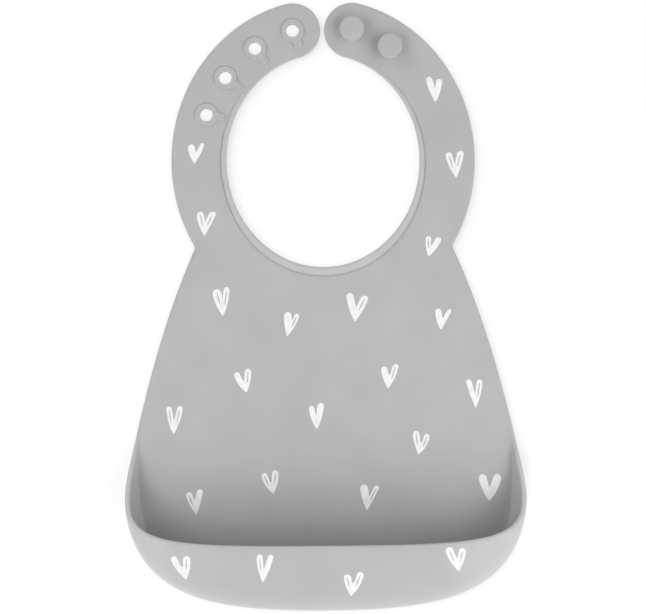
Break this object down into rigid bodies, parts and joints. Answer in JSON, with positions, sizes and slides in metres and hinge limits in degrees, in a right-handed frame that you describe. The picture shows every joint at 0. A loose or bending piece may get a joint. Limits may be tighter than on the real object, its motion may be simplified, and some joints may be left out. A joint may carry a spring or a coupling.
{
  "type": "silicone bib",
  "caption": "Soft silicone baby bib: a flared chest panel with a deep catch pocket below and a neck strap that buttons by mushroom studs through collared holes.",
  "frame": {"origin": "under the middle of the bib's outline, on the surface that its back lies on", "axes": "+X to the viewer's right across the front, +Y from the pocket up to the strap tips, +Z out of the front"},
  "size_m": [0.2262, 0.3464, 0.0436],
  "materials": {
    "silicone": "satin moulded silicone rubber"
  },
  "bodies": {
    "panel": {"chest_panel": "silicone", "neck_bead": "silicone"},
    "pocket": {"catch_pocket": "silicone", "pocket_rim": "silicone"},
    "hole_strap": {"hole_strap": "silicone", "neck_bead_left": "silicone", "hole_collar_3": "silicone", "hole_collar_4": "silicone"},
    "hole_strap_tip": {"hole_strap_tip": "silicone", "hole_collar_1": "silicone", "hole_collar_2": "silicone"},
    "stud_strap": {"stud_strap": "silicone", "neck_bead_right": "silicone"},
    "stud_strap_tip": {"stud_strap_tip": "silicone", "stud_1": "silicone", "stud_2": "silicone"}
  },
  "joints": [
    {"name": "pocket_fold", "type": "hinge", "parent": "panel", "child": "pocket", "pos_m": [0, -0.07206, 0.0011], "axis": [-1, 0, 0], "range_deg": [-45, 90], "stiffness_Nm_per_rad": 0.02},
    {"name": "hole_strap_bend", "type": "hinge", "parent": "panel", "child": "hole_strap", "pos_m": [-0.0712, 0.06594, 0.0011], "axis": [1, 0, 0], "range_deg": [-90, 90], "stiffness_Nm_per_rad": 0.004},
    {"name": "hole_tip_flex", "type": "hinge", "parent": "hole_strap", "child": "hole_strap_tip", "pos_m": [-0.04788, 0.13955, 0.0011], "axis": [0.7005, -0.7137, 0], "range_deg": [-60, 75], "stiffness_Nm_per_rad": 0.003},
    {"name": "stud_strap_bend", "type": "hinge", "parent": "panel", "child": "stud_strap", "pos_m": [0.0712, 0.06594, 0.0011], "axis": [1, 0, 0], "range_deg": [-90, 90], "stiffness_Nm_per_rad": 0.004},
    {"name": "stud_tip_flex", "type": "hinge", "parent": "stud_strap", "child": "stud_strap_tip", "pos_m": [0.04788, 0.13955, 0.0011], "axis": [0.7005, 0.7137, 0], "range_deg": [-60, 75], "stiffness_Nm_per_rad": 0.003}
  ]
}
